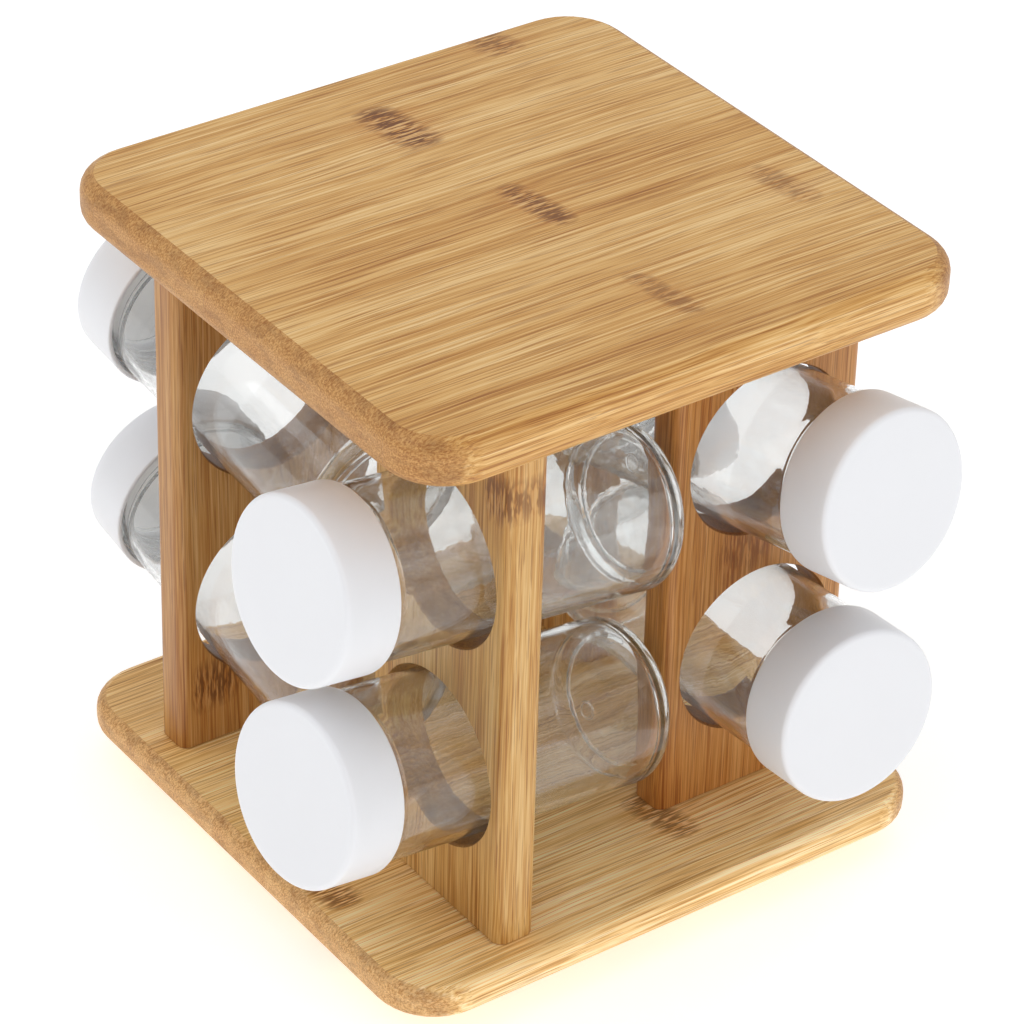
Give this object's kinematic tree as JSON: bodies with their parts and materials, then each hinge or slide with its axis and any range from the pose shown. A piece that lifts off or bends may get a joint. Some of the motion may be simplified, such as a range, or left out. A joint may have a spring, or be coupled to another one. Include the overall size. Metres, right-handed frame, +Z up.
{
  "type": "spice carousel",
  "caption": "Square bamboo rack that turns on a ball-bearing base. Glass jars with white screw lids lie through round holes in its upright panels.",
  "frame": {"origin": "on the floor under the axis that the rack turns about", "axes": "+Z up along the turning axis; the boards' grain runs along Y and their sides face the X and Y axes"},
  "size_m": [0.2054, 0.2056, 0.1851],
  "materials": {
    "bamboo_board": "satin lacquer, fine parallel grain",
    "bamboo_upright": "satin lacquer, upright grain",
    "dowel_wood": "plain turned wood",
    "jar_glass": "clear, faint green at the thick edges",
    "lid_plastic": "smooth white",
    "seal_foam": "soft matt disc",
    "turntable_steel": "zinc plated",
    "screw_steel": "zinc plated",
    "ball_steel": "polished",
    "cage_plastic": "matt",
    "foot_rubber": "matt"
  },
  "bodies": {
    "turntable_base": {"turntable_lower_plate": "turntable_steel", "turntable_rivet": "turntable_steel", "foot_1": "foot_rubber", "foot_2": "foot_rubber", "foot_3": "foot_rubber", "foot_4": "foot_rubber"},
    "bearing": {"ball_cage": "cage_plastic", "ball_1": "ball_steel", "ball_2": "ball_steel", "ball_3": "ball_steel", "ball_4": "ball_steel", "ball_5": "ball_steel", "ball_6": "ball_steel"},
    "rack": {"turntable_upper_plate": "turntable_steel", "plate_screw_1": "screw_steel", "plate_screw_2": "screw_steel", "plate_screw_3": "screw_steel", "plate_screw_4": "screw_steel", "base_board": "bamboo_board", "upright_1": "bamboo_upright", "upright_2": "bamboo_upright", "upright_3": "bamboo_upright", "upright_4": "bamboo_upright", "upright_screw_1_1": "screw_steel", "upright_screw_1_2": "screw_steel", "upright_screw_2_1": "screw_steel", "upright_screw_2_2": "screw_steel", "upright_screw_3_1": "screw_steel", "upright_screw_3_2": "screw_steel", "upright_screw_4_1": "screw_steel", "upright_screw_4_2": "screw_steel", "dowel_1": "dowel_wood", "dowel_2": "dowel_wood", "dowel_3": "dowel_wood", "dowel_4": "dowel_wood", "top_board": "bamboo_board"},
    "jar_1_upper_glass": {"jar_1_upper": "jar_glass"},
    "jar_1_upper_seal": {"seal_1_upper": "seal_foam"},
    "jar_1_upper_lid": {"lid_1_upper": "lid_plastic"},
    "jar_1_lower_glass": {"jar_1_lower": "jar_glass"},
    "jar_1_lower_seal": {"seal_1_lower": "seal_foam"},
    "jar_1_lower_lid": {"lid_1_lower": "lid_plastic"},
    "jar_2_upper_glass": {"jar_2_upper": "jar_glass"},
    "jar_2_upper_seal": {"seal_2_upper": "seal_foam"},
    "jar_2_upper_lid": {"lid_2_upper": "lid_plastic"},
    "jar_2_lower_glass": {"jar_2_lower": "jar_glass"},
    "jar_2_lower_seal": {"seal_2_lower": "seal_foam"},
    "jar_2_lower_lid": {"lid_2_lower": "lid_plastic"},
    "jar_3_upper_glass": {"jar_3_upper": "jar_glass"},
    "jar_3_upper_seal": {"seal_3_upper": "seal_foam"},
    "jar_3_upper_lid": {"lid_3_upper": "lid_plastic"},
    "jar_3_lower_glass": {"jar_3_lower": "jar_glass"},
    "jar_3_lower_seal": {"seal_3_lower": "seal_foam"},
    "jar_3_lower_lid": {"lid_3_lower": "lid_plastic"},
    "jar_4_upper_glass": {"jar_4_upper": "jar_glass"},
    "jar_4_upper_seal": {"seal_4_upper": "seal_foam"},
    "jar_4_upper_lid": {"lid_4_upper": "lid_plastic"},
    "jar_4_lower_glass": {"jar_4_lower": "jar_glass"},
    "jar_4_lower_seal": {"seal_4_lower": "seal_foam"},
    "jar_4_lower_lid": {"lid_4_lower": "lid_plastic"}
  },
  "joints": [
    {"name": "carousel_turn", "type": "hinge", "parent": "turntable_base", "child": "rack", "pos_m": [0, 0, 0.009], "axis": [0, 0, 1], "continuous": true},
    {"name": "bearing_turn", "type": "hinge", "parent": "turntable_base", "child": "bearing", "pos_m": [0, 0, 0.009], "axis": [0, 0, 1], "continuous": true},
    {"name": "jar_1_upper_slide", "type": "slide", "parent": "rack", "child": "jar_1_upper_glass", "axis": [0.0346, -0.9897, 0.1392], "range_m": [-0.0025, 0.1]},
    {"name": "lid_1_upper_lift", "type": "slide", "parent": "jar_1_upper_glass", "child": "jar_1_upper_seal", "axis": [0.0346, -0.9897, 0.1392], "range_m": [0, 0.0046]},
    {"name": "lid_1_upper_turn", "type": "hinge", "parent": "jar_1_upper_seal", "child": "jar_1_upper_lid", "pos_m": [0.04405, 0.0088, 0.11669], "axis": [0.0346, -0.9897, 0.1392], "range_deg": [0, 540]},
    {"name": "jar_1_lower_slide", "type": "slide", "parent": "rack", "child": "jar_1_lower_glass", "axis": [0.0689, -0.9853, 0.1564], "range_m": [-0.0025, 0.1]},
    {"name": "lid_1_lower_lift", "type": "slide", "parent": "jar_1_lower_glass", "child": "jar_1_lower_seal", "axis": [0.0689, -0.9853, 0.1564], "range_m": [0, 0.0046]},
    {"name": "lid_1_lower_turn", "type": "hinge", "parent": "jar_1_lower_seal", "child": "jar_1_lower_lid", "pos_m": [0.04213, 0.0084, 0.05324], "axis": [0.0689, -0.9853, 0.1564], "range_deg": [0, 540]},
    {"name": "jar_2_upper_slide", "type": "slide", "parent": "rack", "child": "jar_2_upper_glass", "axis": [0.9853, 0.0862, 0.1478], "range_m": [-0.0025, 0.1]},
    {"name": "lid_2_upper_lift", "type": "slide", "parent": "jar_2_upper_glass", "child": "jar_2_upper_seal", "axis": [0.9853, 0.0862, 0.1478], "range_m": [0, 0.0046]},
    {"name": "lid_2_upper_turn", "type": "hinge", "parent": "jar_2_upper_seal", "child": "jar_2_upper_lid", "pos_m": [-0.0086, 0.04114, 0.1162], "axis": [0.9853, 0.0862, 0.1478], "range_deg": [0, 540]},
    {"name": "jar_2_lower_slide", "type": "slide", "parent": "rack", "child": "jar_2_lower_glass", "axis": [0.9951, -0.0261, 0.0958], "range_m": [-0.0025, 0.1]},
    {"name": "lid_2_lower_lift", "type": "slide", "parent": "jar_2_lower_glass", "child": "jar_2_lower_seal", "axis": [0.9951, -0.0261, 0.0958], "range_m": [0, 0.0046]},
    {"name": "lid_2_lower_turn", "type": "hinge", "parent": "jar_2_lower_seal", "child": "jar_2_lower_lid", "pos_m": [-0.0098, 0.04749, 0.05657], "axis": [0.9951, -0.0261, 0.0958], "range_deg": [0, 540]},
    {"name": "jar_3_upper_slide", "type": "slide", "parent": "rack", "child": "jar_3_upper_glass", "axis": [-0.0519, 0.9912, 0.1219], "range_m": [-0.0025, 0.1]},
    {"name": "lid_3_upper_lift", "type": "slide", "parent": "jar_3_upper_glass", "child": "jar_3_upper_seal", "axis": [-0.0519, 0.9912, 0.1219], "range_m": [0, 0.0046]},
    {"name": "lid_3_upper_turn", "type": "hinge", "parent": "jar_3_upper_seal", "child": "jar_3_upper_lid", "pos_m": [-0.04306, -0.0092, 0.11763], "axis": [-0.0519, 0.9912, 0.1219], "range_deg": [0, 540]},
    {"name": "jar_3_lower_slide", "type": "slide", "parent": "rack", "child": "jar_3_lower_glass", "axis": [0, 0.9903, 0.1392], "range_m": [-0.0025, 0.1]},
    {"name": "lid_3_lower_lift", "type": "slide", "parent": "jar_3_lower_glass", "child": "jar_3_lower_seal", "axis": [0, 0.9903, 0.1392], "range_m": [0, 0.0046]},
    {"name": "lid_3_lower_turn", "type": "hinge", "parent": "jar_3_lower_seal", "child": "jar_3_lower_lid", "pos_m": [-0.046, -0.0088, 0.0542], "axis": [0, 0.9903, 0.1392], "range_deg": [0, 540]},
    {"name": "jar_4_upper_slide", "type": "slide", "parent": "rack", "child": "jar_4_upper_glass", "axis": [-0.9899, -0.0259, 0.1392], "range_m": [-0.0025, 0.1]},
    {"name": "lid_4_upper_lift", "type": "slide", "parent": "jar_4_upper_glass", "child": "jar_4_upper_seal", "axis": [-0.9899, -0.0259, 0.1392], "range_m": [0, 0.0046]},
    {"name": "lid_4_upper_turn", "type": "hinge", "parent": "jar_4_upper_seal", "child": "jar_4_upper_lid", "pos_m": [0.0088, -0.04454, 0.11669], "axis": [-0.9899, -0.0259, 0.1392], "range_deg": [0, 540]},
    {"name": "jar_4_lower_slide", "type": "slide", "parent": "rack", "child": "jar_4_lower_glass", "axis": [-0.9911, 0.026, 0.1305], "range_m": [-0.0025, 0.1]},
    {"name": "lid_4_lower_lift", "type": "slide", "parent": "jar_4_lower_glass", "child": "jar_4_lower_seal", "axis": [-0.9911, 0.026, 0.1305], "range_m": [0, 0.0046]},
    {"name": "lid_4_lower_turn", "type": "hinge", "parent": "jar_4_lower_seal", "child": "jar_4_lower_lid", "pos_m": [0.009, -0.04747, 0.05466], "axis": [-0.9911, 0.026, 0.1305], "range_deg": [0, 540]}
  ],
  "couplings": [
    {"joint": "bearing_turn", "follows": "carousel_turn", "ratio": 0.5},
    {"joint": "lid_1_upper_lift", "follows": "lid_1_upper_turn", "m_per_rad": 0.0004775},
    {"joint": "lid_1_lower_lift", "follows": "lid_1_lower_turn", "m_per_rad": 0.0004775},
    {"joint": "lid_2_upper_lift", "follows": "lid_2_upper_turn", "m_per_rad": 0.0004775},
    {"joint": "lid_2_lower_lift", "follows": "lid_2_lower_turn", "m_per_rad": 0.0004775},
    {"joint": "lid_3_upper_lift", "follows": "lid_3_upper_turn", "m_per_rad": 0.0004775},
    {"joint": "lid_3_lower_lift", "follows": "lid_3_lower_turn", "m_per_rad": 0.0004775},
    {"joint": "lid_4_upper_lift", "follows": "lid_4_upper_turn", "m_per_rad": 0.0004775},
    {"joint": "lid_4_lower_lift", "follows": "lid_4_lower_turn", "m_per_rad": 0.0004775}
  ]
}
